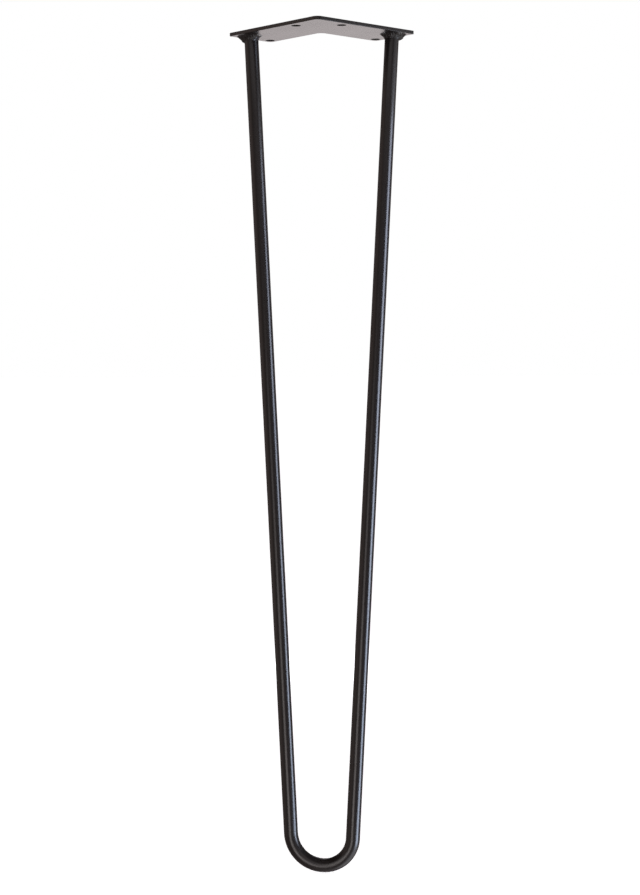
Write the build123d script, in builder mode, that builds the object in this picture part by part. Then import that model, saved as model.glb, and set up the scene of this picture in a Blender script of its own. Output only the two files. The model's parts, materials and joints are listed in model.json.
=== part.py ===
from build123d import *
import os
from math import asin, atan2, cos, degrees, hypot, radians, sin, sqrt

# Hairpin table leg: one bent steel rod, welded by both ends to a flat L-shaped mounting plate.
# Millimetres, +Z up. The plate's top face, which bears on the underside of the table top, is Z = 0 and
# the leg hangs below it. X runs across the two ends of the rod and -Y points to the plate's outer corner.
# The origin is the point of the top face where the centre lines of the plate's two arms cross.

# Whole leg
leg_height = 711.0  # from the plate's top face to the lowest point of the bend
lean_angle = 4.0  # degrees that the hairpin's plane leans, with its foot towards the plate's outer corner

# Mounting plate
plate_thickness = 3.0
arm_length = 111.4  # outer edge of an arm, from the outer corner to its tip
arm_width = 47.0
outer_corner_radius = 5.0  # where the arms meet at the front
inner_corner_radius = 5.0  # where the arms meet at the back
tip_radius = 1.0  # the outer corner of each arm's end
end_corner_radius = 4.0  # the inner corner of each arm's end, beside its rear hole
rim_radius = 0.5  # softened rim of the plate, top and bottom

# Screw holes
hole_diameter = 8.0
front_hole_along = 34.7  # from the outer corner, along the arm
front_hole_inset = 8.1  # from the arm's outer edge
rear_hole_inset = 7.0  # from the arm's end, and from its inner edge

# Hairpin rod
rod_diameter = 12.0
bend_radius = 26.2  # mean of the bend's two halves, to the rod's centre line
bend_shift = 2.5  # bend's lowest point, right of the leg's middle: the bend is tighter on that side

# Weld beads
weld_leg = 5.0  # spread over the plate, beyond the rod
weld_height = 4.6  # reach along the rod, below the plate
weld_toe = 0.5  # thickness of a bead where it dies out on the rod
weld_edge_margin = 1.8  # bare plate between a bead and the arm's outer edge
weld_end_margin = 2.8  # bare plate between a bead and the arm's end

# The plate is drawn along its arms: from the outer corner, X along the right arm and Y along the left arm.
underside = -plate_thickness
corner_y = -arm_width / sqrt(2)
arms_plane = Plane(origin=(0, corner_y, underside), x_dir=(1, 1, 0), z_dir=(0, 0, 1))
front_hole = (front_hole_along, front_hole_inset)
rear_hole = (arm_length - rear_hole_inset, arm_width - rear_hole_inset)

# Each end of the rod stands as close to the outer edge and to the end of its arm as its weld allows.
rod_radius = rod_diameter / 2
weld_radius = rod_radius + weld_leg
rod_along = arm_length - weld_end_margin - weld_radius
rod_inset = weld_edge_margin + weld_radius
rod_x = (rod_along - rod_inset) / sqrt(2)
rod_y = corner_y + (rod_along + rod_inset) / sqrt(2)

# The hairpin is drawn in its own leaning plane, from midway between the rod's ends: X across and Y up.
lean = radians(lean_angle)
hairpin_plane = Plane(origin=(0, rod_y, underside), x_dir=(1, 0, 0), z_dir=(0, -cos(lean), sin(lean)))
hairpin_drop = (leg_height - plate_thickness - rod_radius) / cos(lean)
bend_bottom = (bend_shift, -hairpin_drop)
trim_length = rod_radius  # the rod is drawn this far past the plate's underside, then cut flush with it
RIGHT, LEFT = 1, -1


def half_hairpin(side):
    """Radius of one half of the bend, and the angle from upright of the straight run that leaves it."""
    radius = bend_radius - side * bend_shift
    reach = rod_x - side * bend_shift
    drop = hairpin_drop - radius
    splay = atan2(reach, drop) - asin(radius / hypot(reach, drop))
    return radius, splay


os.makedirs("parts", exist_ok=True)

# Mounting plate: two arms at right angles, cut from sheet in one piece
plate_corners = [
    (0, 0),
    (arm_length, 0),
    (arm_length, arm_width),
    (arm_width, arm_width),
    (arm_width, arm_length),
    (0, arm_length),
]
corner_radii = [
    outer_corner_radius,
    tip_radius,
    end_corner_radius,
    inner_corner_radius,
    end_corner_radius,
    tip_radius,
]
with BuildPart() as mounting_plate:
    with BuildSketch(arms_plane):
        with BuildLine():
            FilletPolyline(plate_corners, radius=corner_radii, close=True)
        make_face()
        with Locations(front_hole, front_hole[::-1], rear_hole, rear_hole[::-1]):
            Circle(hole_diameter / 2, mode=Mode.SUBTRACT)
    extrude(amount=plate_thickness)
    broad_faces = mounting_plate.faces().filter_by(Axis.Z)
    rims = [face.outer_wire().edges() for face in broad_faces]
    fillet(rims, radius=rim_radius)
mounting_plate.part.label = "mounting_plate"
export_step(mounting_plate.part, "parts/mounting_plate.step")

# Hairpin rod: from the bottom of the bend, each half turns upwards and runs straight to the plate.
# Both ends are cut flush with the plate's underside.
with BuildPart() as hairpin_rod:
    with BuildLine(hairpin_plane):
        for side in (RIGHT, LEFT):
            radius, splay = half_hairpin(side)
            run_top = (side * (rod_x + trim_length * sin(splay)), trim_length * cos(splay))
            bend = JernArc(bend_bottom, (side, 0), radius, side * (90 - degrees(splay)))
            run = Line(bend @ 1, run_top)
    with BuildSketch(Plane(origin=run @ 1, z_dir=run % 1)):
        Circle(rod_radius)
    sweep()
    split(bisect_by=Plane.XY.offset(underside), keep=Keep.BOTTOM)
hairpin_rod.part.label = "hairpin_rod"
export_step(hairpin_rod.part, "parts/hairpin_rod.step")

# Weld beads: a fillet of weld metal all round each end of the rod, from the plate down to the rod
for name, side in (("weld_bead_left", LEFT), ("weld_bead_right", RIGHT)):
    radius, splay = half_hairpin(side)
    rod_end = Vector(side * rod_x, rod_y, underside)
    up_rod = hairpin_plane.x_dir * (side * sin(splay)) + hairpin_plane.y_dir * cos(splay)
    across_rod = up_rod.cross(hairpin_plane.z_dir)
    with BuildPart() as weld_bead:
        with BuildSketch(Plane(origin=rod_end, x_dir=(1, 0, 0), z_dir=(0, 0, 1))):
            Circle(weld_radius)
        with BuildSketch(Plane(origin=rod_end - up_rod * weld_height, x_dir=across_rod, z_dir=up_rod)):
            Circle(rod_radius + weld_toe)
        loft(ruled=True)
        add(hairpin_rod.part, mode=Mode.SUBTRACT)
    weld_bead.part.label = name
    export_step(weld_bead.part, f"parts/{name}.step")
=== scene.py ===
import json
from math import asin, atan2, cos, hypot, pi, radians, sin, tau

import bpy
import numpy as np
from mathutils import Matrix, Vector, noise


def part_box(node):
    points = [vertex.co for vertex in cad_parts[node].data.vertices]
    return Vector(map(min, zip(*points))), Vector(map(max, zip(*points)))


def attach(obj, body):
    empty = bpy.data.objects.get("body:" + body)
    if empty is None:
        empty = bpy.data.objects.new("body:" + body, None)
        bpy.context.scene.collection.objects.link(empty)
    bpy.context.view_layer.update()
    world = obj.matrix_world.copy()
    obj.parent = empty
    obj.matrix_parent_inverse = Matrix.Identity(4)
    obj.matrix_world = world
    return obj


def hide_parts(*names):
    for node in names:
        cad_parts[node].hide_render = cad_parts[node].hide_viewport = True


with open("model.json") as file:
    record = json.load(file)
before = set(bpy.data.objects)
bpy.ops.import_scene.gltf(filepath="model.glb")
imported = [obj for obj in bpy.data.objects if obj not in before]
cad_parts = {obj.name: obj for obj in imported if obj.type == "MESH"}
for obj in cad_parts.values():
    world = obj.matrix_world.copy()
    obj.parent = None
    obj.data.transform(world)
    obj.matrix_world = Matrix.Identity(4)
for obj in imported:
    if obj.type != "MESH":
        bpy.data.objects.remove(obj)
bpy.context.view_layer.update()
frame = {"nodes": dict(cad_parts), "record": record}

# Metres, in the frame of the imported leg: +Z up, the plate's top face at Z = 0, -Y towards the camera.

# Sizes of the rod that the frame's boxes don't give
ROD_RADIUS = 0.006
BEND_RADIUS = 0.0262  # mean of the bend's two halves, to the rod's centre line

# Places read from the frame
mounts = {mount["name"]: mount for mount in frame["record"]["mounts"]}
foot = Vector(mounts["floor_contact"]["pos_m"])
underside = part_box("mounting_plate")[0].z
weld_low, weld_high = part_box("weld_bead_right")
rod_x = (weld_low.x + weld_high.x) / 2
rod_y = (weld_low.y + weld_high.y) / 2
bend_shift = foot.x  # the bend is tighter on the side that its lowest point is shifted to

# The hairpin's own leaning plane, from midway between the rod's ends down to the bottom of the bend
RIGHT, LEFT = 1, -1
hairpin_top = Vector((0, rod_y, underside))
hairpin_foot = Vector((0, foot.y, foot.z + ROD_RADIUS))
across = Vector((1, 0, 0))
up = (hairpin_top - hairpin_foot).normalized()
front = across.cross(up)
hairpin_drop = (hairpin_top - hairpin_foot).length


def half_hairpin(side):
    """Radius of one half of the bend, and the angle from upright of the straight run that leaves it."""
    radius = BEND_RADIUS - side * bend_shift
    reach = rod_x - side * bend_shift
    drop = hairpin_drop - radius
    splay = atan2(reach, drop) - asin(radius / hypot(reach, drop))
    return radius, splay


def mesh_object(name, points, faces, material):
    """A smooth-shaded mesh piece that rides on the leg's one body."""
    mesh = bpy.data.meshes.new(name)
    mesh.from_pydata([tuple(p) for p in points], [], faces)
    mesh.validate()
    mesh.update()
    mesh.polygons.foreach_set("use_smooth", [True] * len(mesh.polygons))
    mesh.materials.append(material)
    piece = bpy.data.objects.new(name, mesh)
    bpy.context.scene.collection.objects.link(piece)
    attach(piece, "root")
    return piece


def ring_faces(rings, points_per_ring, closed=False):
    """Quads between rings of points; closed also joins the last ring to the first."""
    faces = []
    for ring in range(rings if closed else rings - 1):
        this = ring * points_per_ring
        below = (ring + 1) % rings * points_per_ring
        for place in range(points_per_ring):
            after = (place + 1) % points_per_ring
            faces.append((this + place, this + after, below + after, below + place))
    return faces


# Powder coat: satin warm black, with the fine orange peel and slight cloudiness of a baked coating
COAT_DARK = (0.0115, 0.0092, 0.0088, 1)
COAT_LIGHT = (0.0150, 0.0120, 0.0115, 1)
COAT_ROUGHNESS = (0.24, 0.30)
COAT_IOR = 1.5
CLOUD_SCALE, CLOUD_DETAIL = 45.0, 4  # spots per metre, and the layers of finer spots on them
PEEL_SCALE, PEEL_DETAIL = 420.0, 1
GRAIN_SCALE, GRAIN_DETAIL = 3200.0, 2
PEEL_DEPTH = 0.0000025
GRAIN_DEPTH = 0.0000006


def coat_material():
    """The one finish of the whole leg."""
    material = bpy.data.materials.new("powder_coat")
    material.use_nodes = True
    nodes, links = material.node_tree.nodes, material.node_tree.links
    shader = nodes["Principled BSDF"]
    shader.inputs["IOR"].default_value = COAT_IOR
    place = nodes.new("ShaderNodeTexCoord")

    def speckle(scale, detail):
        texture = nodes.new("ShaderNodeTexNoise")
        texture.inputs["Scale"].default_value = scale
        texture.inputs["Detail"].default_value = detail
        links.new(place.outputs["Object"], texture.inputs["Vector"])
        return texture.outputs["Fac"]

    clouds = speckle(CLOUD_SCALE, CLOUD_DETAIL)
    colour = nodes.new("ShaderNodeMix")
    colour.data_type = "RGBA"
    colour.inputs["A"].default_value = COAT_DARK
    colour.inputs["B"].default_value = COAT_LIGHT
    links.new(clouds, colour.inputs["Factor"])
    links.new(colour.outputs["Result"], shader.inputs["Base Color"])

    gloss = nodes.new("ShaderNodeMapRange")
    gloss.inputs["To Min"].default_value, gloss.inputs["To Max"].default_value = COAT_ROUGHNESS
    links.new(clouds, gloss.inputs["Value"])
    links.new(gloss.outputs["Result"], shader.inputs["Roughness"])

    grain = nodes.new("ShaderNodeBump")
    grain.inputs["Distance"].default_value = GRAIN_DEPTH
    links.new(speckle(GRAIN_SCALE, GRAIN_DETAIL), grain.inputs["Height"])
    peel = nodes.new("ShaderNodeBump")
    peel.inputs["Distance"].default_value = PEEL_DEPTH
    links.new(speckle(PEEL_SCALE, PEEL_DETAIL), peel.inputs["Height"])
    links.new(grain.outputs["Normal"], peel.inputs["Normal"])
    links.new(peel.outputs["Normal"], shader.inputs["Normal"])
    return material


coat = coat_material()

# The mounting plate keeps its solid's mesh.
plate = frame["nodes"]["mounting_plate"]
plate.data.materials.clear()
plate.data.materials.append(coat)

# Hairpin rod: the same bent rod as the solid, finely divided, with the faint waviness of drawn bar
ROD_SIDES = 64
RUN_STEPS = 170
BEND_STEPS = 60
WAVE_DEPTH = 0.00002
WAVES = ((95.0, 1), (41.0, -2))  # waves in radians per metre along the rod, and turns round it


def half_stations(side):
    """Across, up and outward angle of points on the centre line, from the plate to the bottom of the bend."""
    radius, splay = half_hairpin(side)
    turn = np.linspace(-splay, -pi / 2, BEND_STEPS)
    bend_x = bend_shift + side * radius * np.cos(turn)
    bend_y = radius - hairpin_drop + radius * np.sin(turn)
    share = np.linspace(0, 1, RUN_STEPS, endpoint=False)
    x = np.concatenate([side * rod_x + share * (bend_x[0] - side * rod_x), bend_x])
    y = np.concatenate([share * bend_y[0], bend_y])
    outward = np.concatenate([np.full(RUN_STEPS, -splay), turn])
    return x, y, outward if side == RIGHT else -pi - outward


def hairpin_rod():
    """Down the right run, round the bend and up the left run; both ends are flush with the plate."""
    down, rise = half_stations(RIGHT), half_stations(LEFT)
    # Both halves hold the bottom of the bend, which counts once.
    x, y, outward = (np.concatenate([a, b[-2::-1]]) for a, b in zip(down, rise))
    length = np.concatenate([[0], np.cumsum(np.hypot(np.diff(x), np.diff(y)))])
    turn = np.arange(ROD_SIDES) * tau / ROD_SIDES
    last = len(x) - 1
    points = []
    for station in range(len(x)):
        centre = hairpin_top + across * x[station] + up * y[station]
        out = across * cos(outward[station]) + up * sin(outward[station])
        along = out.cross(front)
        for angle in turn:
            wave = sum(sin(rate * length[station] + turns * angle) for rate, turns in WAVES)
            radius = ROD_RADIUS + WAVE_DEPTH * (wave / len(WAVES) - 1)
            point = centre + (out * cos(angle) + front * sin(angle)) * radius
            if station in (0, last):
                point += along * ((underside - point.z) / along.z)
            points.append(point)
    faces = ring_faces(len(x), ROD_SIDES)
    faces.append(tuple(range(ROD_SIDES))[::-1])
    faces.append(tuple(range(last * ROD_SIDES, len(points))))
    rod = mesh_object("bent_rod", points, faces, coat)
    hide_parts("hairpin_rod")


hairpin_rod()

# Weld beads: overlapping ripples of weld metal laid by hand round each end of the rod
WELD_STEPS = 360
WELD_ROWS = 26
WELD_BURIED = 0.07  # how far a bead's face runs on into the plate and the rod, as a share of its width
WELD_CORE = 0.0015  # depth of a bead's hidden inner edge in the rod and in the plate
WOBBLES = (2, 3, 5, 7)  # waves round a bead that make up a wobble
REACH_WOBBLE = 0.0004
HEIGHT_WOBBLE = 0.0005
BULGE_WOBBLE = 0.0003
RIPPLES = 21
RIPPLE_WOBBLE = 0.45  # share of a ripple
RIPPLE_DEPTH = 0.0004
RIPPLE_SHARPNESS = 2.5
RIPPLE_LAG = 0.6  # how far a ripple's ends trail behind its middle, as a share of a ripple
LUMPS = ((330.0, 0.0006), (750.0, 0.0004))  # lumps per metre and their depth
ENDWARD = radians(40)  # a bead is longest this far behind the line across the leg, towards its arm's end
ENDWARD_SHARPNESS = 4
INNER_CALM = 0.5  # share of the ripples and lumps that is left on the side away from the arm's end


def uneven(angle, random):
    """A smooth wobble round a bead, from -1 to 1."""
    total = sum(np.sin(waves * angle + random.uniform(0, tau)) / waves for waves in WOBBLES)
    return total / np.abs(total).max()


def weld_bead(name, node, side, seed, reach, height, bulge):
    """A closed ring of weld metal round one end of the rod.

    Reach over the plate, from the rod's middle, height down the rod and bulge are pairs: towards the arm's
    end, and away from it.
    """
    random = np.random.default_rng(seed)
    splay = half_hairpin(side)[1]
    rod_end = Vector((side * rod_x, rod_y, underside))
    up_rod = across * (side * sin(splay)) + up * cos(splay)
    angle = np.arange(WELD_STEPS) * tau / WELD_STEPS
    endward = side * cos(ENDWARD) * np.cos(angle) + sin(ENDWARD) * np.sin(angle)
    endward = ((1 + endward) / 2) ** ENDWARD_SHARPNESS
    reach = np.interp(endward, (0, 1), reach[::-1]) + REACH_WOBBLE * uneven(angle, random)
    height = np.interp(endward, (0, 1), height[::-1]) + HEIGHT_WOBBLE * uneven(angle, random)
    bulge = np.interp(endward, (0, 1), bulge[::-1]) + BULGE_WOBBLE * uneven(angle, random)
    pitch = angle / tau * RIPPLES + RIPPLE_WOBBLE * uneven(angle, random)
    rough = np.interp(endward, (0, 1), (INNER_CALM, 1))

    points = []
    for share in np.linspace(-WELD_BURIED, 1 + WELD_BURIED, WELD_ROWS):
        off_middle = (2 * share - 1) ** 2
        phase = (pitch + RIPPLE_LAG * off_middle) % 1
        ripple = RIPPLE_DEPTH * (0.5 - np.abs(2 * phase - 1) ** RIPPLE_SHARPNESS)
        for step in range(WELD_STEPS):
            level = Vector((cos(angle[step]), sin(angle[step]), 0))
            square = (level - up_rod * level.dot(up_rod)).normalized()
            plate_toe = rod_end + level * reach[step]
            rod_toe = rod_end - up_rod * height[step] + square * ROD_RADIUS
            slope = (rod_toe - plate_toe).normalized()
            outward = (square - slope * square.dot(slope)).normalized()
            point = plate_toe.lerp(rod_toe, share)
            lump = sum(depth * noise.noise(point * scale) for scale, depth in LUMPS)
            crown = (1 - off_middle) * bulge[step]
            points.append(point + outward * (crown + rough[step] * (ripple[step] + lump)))
    for step in range(WELD_STEPS):
        level = Vector((cos(angle[step]), sin(angle[step]), 0))
        points.append(rod_end + level * (ROD_RADIUS - WELD_CORE) + Vector((0, 0, WELD_CORE)))
    faces = ring_faces(WELD_ROWS + 1, WELD_STEPS, closed=True)
    bead = mesh_object(name, points, faces, coat)
    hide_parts(node)


weld_bead(
    "welded_bead_right",
    node="weld_bead_right",
    side=RIGHT,
    seed=11,
    reach=(0.0128, 0.0102),
    height=(0.0046, 0.0042),
    bulge=(0.0005, -0.0006),
)
weld_bead(
    "welded_bead_left",
    node="weld_bead_left",
    side=LEFT,
    seed=23,
    reach=(0.0131, 0.0097),
    height=(0.0056, 0.0048),
    bulge=(0.0004, -0.0010),
)

# Stage: a plain white floor under the foot, which glows a little so that shadows on it stay faint
FLOOR_HALF = 30.0
FLOOR_WHITE = (0.85, 0.85, 0.85, 1)
FLOOR_GLOW = 1.05
BLACK = (0, 0, 0, 1)


def stage_panel(name, corners):
    """A flat piece of the stage, and the nodes and links of its material."""
    mesh = bpy.data.meshes.new(name)
    mesh.from_pydata(corners, [], [(0, 1, 2, 3)])
    panel = bpy.data.objects.new(name, mesh)
    material = bpy.data.materials.new(name)
    material.use_nodes = True
    mesh.materials.append(material)
    bpy.context.scene.collection.objects.link(panel)
    return panel, material.node_tree.nodes, material.node_tree.links


def upright_panel(name, place, half_width, low, high, light, full=None, dark=None):
    """A stage panel that stands square to the line from the leg to its place, unseen by the camera.

    Its light is even, or fades from all of it at the height full to none at the height dark, or at its top.
    """
    x, y = place
    side = Vector((-y, x, 0)).normalized() * half_width
    bottom, top = Vector((x, y, low)), Vector((x, y, high))
    panel, nodes, links = stage_panel(name, [bottom - side, bottom + side, top + side, top - side])
    panel.visible_camera = False
    shader = nodes["Principled BSDF"]
    shader.inputs["Base Color"].default_value = BLACK
    shader.inputs["Specular IOR Level"].default_value = 0.0
    shader.inputs["Emission Color"].default_value = light
    shader.inputs["Emission Strength"].default_value = 1.0
    if full is None:
        return
    coordinates = nodes.new("ShaderNodeTexCoord")
    parts = nodes.new("ShaderNodeSeparateXYZ")
    links.new(coordinates.outputs["Object"], parts.inputs["Vector"])
    share = nodes.new("ShaderNodeMapRange")
    share.inputs["From Min"].default_value = high if dark is None else dark
    share.inputs["From Max"].default_value = full
    links.new(parts.outputs["Z"], share.inputs["Value"])
    links.new(share.outputs["Result"], shader.inputs["Emission Strength"])


def floor():
    """A level square that touches the lowest point of the bend and isn't mirrored in the leg."""
    spread = ((-1, -1), (1, -1), (1, 1), (-1, 1))
    corners = [(FLOOR_HALF * x, FLOOR_HALF * y, foot.z) for x, y in spread]
    ground, nodes, _ = stage_panel("floor", corners)
    shader = nodes["Principled BSDF"]
    shader.inputs["Base Color"].default_value = FLOOR_WHITE
    shader.inputs["Roughness"].default_value = 1.0
    shader.inputs["Specular IOR Level"].default_value = 0.0
    shader.inputs["Emission Color"].default_value = FLOOR_WHITE
    shader.inputs["Emission Strength"].default_value = FLOOR_GLOW
    ground.visible_glossy = False
    ground.visible_diffuse = False
    ground.visible_shadow = False


floor()

# Front card: a warm panel low down before the leg, on the left, whose light grows from none at its top
upright_panel(
    "front_card",
    place=(-0.18, -0.77),
    half_width=0.17,
    low=-1.06,
    high=-0.08,
    light=(3.2, 2.95, 2.9, 1),
    full=-0.72,
)

# Top card: a dim panel before the leg and above it, which the top of the rods mirrors
upright_panel(
    "top_card",
    place=(-0.06, -0.3),
    half_width=0.18,
    low=0.035,
    high=0.22,
    light=(0.74, 0.69, 0.69, 1),
)

# Flag: a dim board that keeps the softbox off the plate's edge and off the top of the rods, with a light
# of its own that fades upwards
upright_panel(
    "flag",
    place=(0.25, -0.02),
    half_width=0.16,
    low=-0.044,
    high=0.25,
    light=(0.95, 0.91, 0.92, 1),
    full=0.01,
    dark=0.08,
)

# Barn door: a black board beside the softbox, near enough to cut more of its light off the left rod
upright_panel(
    "barn_door",
    place=(0.284, -0.196),
    half_width=0.07,
    low=-0.73,
    high=0.3,
    light=BLACK,
)

# Back card: a panel low down behind the leg, which only the backs of the rods mirror
upright_panel(
    "back_card",
    place=(0.0, 1.0),
    half_width=0.18,
    low=-1.5,
    high=-0.45,
    light=(4.2, 4.3, 4.5, 1),
    full=-0.75,
)

# Light from all round the leg. Each light is a colour, and the azimuths and elevations, in degrees,
# between which it fades in and fades out again. Azimuth is 0 towards the camera and grows to the right.
AMBIENT = (0.05, 0.042, 0.04)
LIGHTS = [
    ("room", (0.13, 0.11, 0.105), (-182, -181, 181, 182), (-92, -91, 20, 45)),
    ("softbox", (7.9, 8.7, 10.9), (50, 56, 83, 93), (-28, -15, 8, 17)),
    ("softbox_low", (2.3, 3.1, 4.1), (50, 56, 83, 93), (-28, -15, -6, 4)),
    ("low_glow", (1.3, 1.35, 1.4), (20, 50, 100, 130), (-85, -60, -30, -18)),
    ("floor_glow", (0.2, 0.19, 0.19), (-50, -10, 120, 150), (-92, -91, -55, -40)),
    ("high_card", (0.60, 0.56, 0.56), (-60, -30, 30, 60), (15, 19, 26, 36)),
    ("left_fill", (0.34, 0.27, 0.25), (-130, -105, -70, -40), (-22, -4, 25, 40)),
]
BACKDROP = (1.07, 0.985, 0.995)  # a strip behind the leg, which the plate's underside mirrors
BACKDROP_AZIMUTH = (160, 178)  # it fades in between these, on the left and on the right,
BACKDROP_TOP = (75, 35)  # and between these elevations, from above


def studio_world():
    """White to the camera, and the lights above to everything else."""
    world = bpy.data.worlds.new("studio")
    bpy.context.scene.world = world
    world.use_nodes = True
    nodes, links = world.node_tree.nodes, world.node_tree.links
    nodes.clear()
    place = nodes.new("ShaderNodeTexCoord")
    parts = nodes.new("ShaderNodeSeparateXYZ")
    links.new(place.outputs["Generated"], parts.inputs["Vector"])

    def feed(socket, value):
        """Link a socket to another, or set it to a plain value."""
        if isinstance(value, bpy.types.NodeSocket):
            links.new(value, socket)
        else:
            socket.default_value = value

    def maths(operation, first, second=0.0):
        node = nodes.new("ShaderNodeMath")
        node.operation = operation
        feed(node.inputs[0], first)
        feed(node.inputs[1], second)
        return node.outputs["Value"]

    def fade(value, start, end):
        """0 at start to 1 at end, both in degrees, smoothly."""
        node = nodes.new("ShaderNodeMapRange")
        node.interpolation_type = "SMOOTHSTEP"
        feed(node.inputs["Value"], value)
        node.inputs["From Min"].default_value = radians(min(start, end))
        node.inputs["From Max"].default_value = radians(max(start, end))
        node.inputs["To Min"].default_value = 0.0 if start < end else 1.0
        node.inputs["To Max"].default_value = 1.0 if start < end else 0.0
        return node.outputs["Result"]

    def band(value, edges):
        """1 between the two middle edges, and 0 outside the outer ones."""
        return maths("MULTIPLY", fade(value, edges[0], edges[1]), fade(value, edges[3], edges[2]))

    def add_light(light, colour, amount):
        """The light so far and this much of a colour more."""
        node = nodes.new("ShaderNodeVectorMath")
        node.operation = "MULTIPLY_ADD"
        node.inputs[0].default_value = colour
        links.new(amount, node.inputs[1])
        feed(node.inputs[2], light)
        return node.outputs["Vector"]

    azimuth = maths("ARCTAN2", parts.outputs["X"], maths("MULTIPLY", parts.outputs["Y"], -1.0))
    elevation = maths("ARCSINE", parts.outputs["Z"])
    behind = fade(maths("ABSOLUTE", azimuth), *BACKDROP_AZIMUTH)
    backdrop = maths("MULTIPLY", behind, fade(elevation, *BACKDROP_TOP))
    light = add_light(AMBIENT, BACKDROP, backdrop)
    for name, colour, azimuths, elevations in LIGHTS:
        amount = maths("MULTIPLY", band(azimuth, azimuths), band(elevation, elevations))
        light = add_light(light, colour, amount)
        light.node.label = name

    lit = nodes.new("ShaderNodeBackground")
    links.new(light, lit.inputs["Color"])
    seen = nodes.new("ShaderNodeBackground")
    seen.inputs["Color"].default_value = (1, 1, 1, 1)
    path = nodes.new("ShaderNodeLightPath")
    mix = nodes.new("ShaderNodeMixShader")
    links.new(path.outputs["Is Camera Ray"], mix.inputs["Fac"])
    links.new(lit.outputs["Background"], mix.inputs[1])
    links.new(seen.outputs["Background"], mix.inputs[2])
    output = nodes.new("ShaderNodeOutputWorld")
    links.new(mix.outputs["Shader"], output.inputs["Surface"])


studio_world()

# Camera: a little to the right of the leg and above its middle, as in the photograph
FRAME_WIDTH, FRAME_HEIGHT = 640, 895
CAMERA_DISTANCE = 1.6
CAMERA_AZIMUTH = radians(2.585)
CAMERA_ELEVATION = radians(2.994)
CAMERA_ROLL = radians(-0.212)
FOCAL_PIXELS = 1858.45
MIDDLE_PIXEL = (323.0, 448.8)


def camera():
    """Aims at the leg's middle, which is seen a few pixels off the middle of the picture."""
    middle = Vector((0, rod_y, foot.z / 2))
    back = Vector((
        sin(CAMERA_AZIMUTH) * cos(CAMERA_ELEVATION),
        -cos(CAMERA_AZIMUTH) * cos(CAMERA_ELEVATION),
        sin(CAMERA_ELEVATION),
    ))
    data = bpy.data.cameras.new("camera")
    data.lens = FOCAL_PIXELS * data.sensor_width / FRAME_HEIGHT
    eye = bpy.data.objects.new("camera", data)
    aim = (-back).to_track_quat("-Z", "Y").to_matrix()
    yaw = (MIDDLE_PIXEL[0] - FRAME_WIDTH / 2) / FOCAL_PIXELS
    pitch = (MIDDLE_PIXEL[1] - FRAME_HEIGHT / 2) / FOCAL_PIXELS
    tilt = Matrix.Rotation(yaw, 3, "Y") @ Matrix.Rotation(pitch, 3, "X")
    tilt = tilt @ Matrix.Rotation(CAMERA_ROLL, 3, "Z")
    eye.matrix_world = Matrix.Translation(middle + back * CAMERA_DISTANCE) @ (aim @ tilt).to_4x4()
    bpy.context.scene.collection.objects.link(eye)
    bpy.context.scene.camera = eye


camera()
bpy.context.scene.view_settings.view_transform = "Standard"
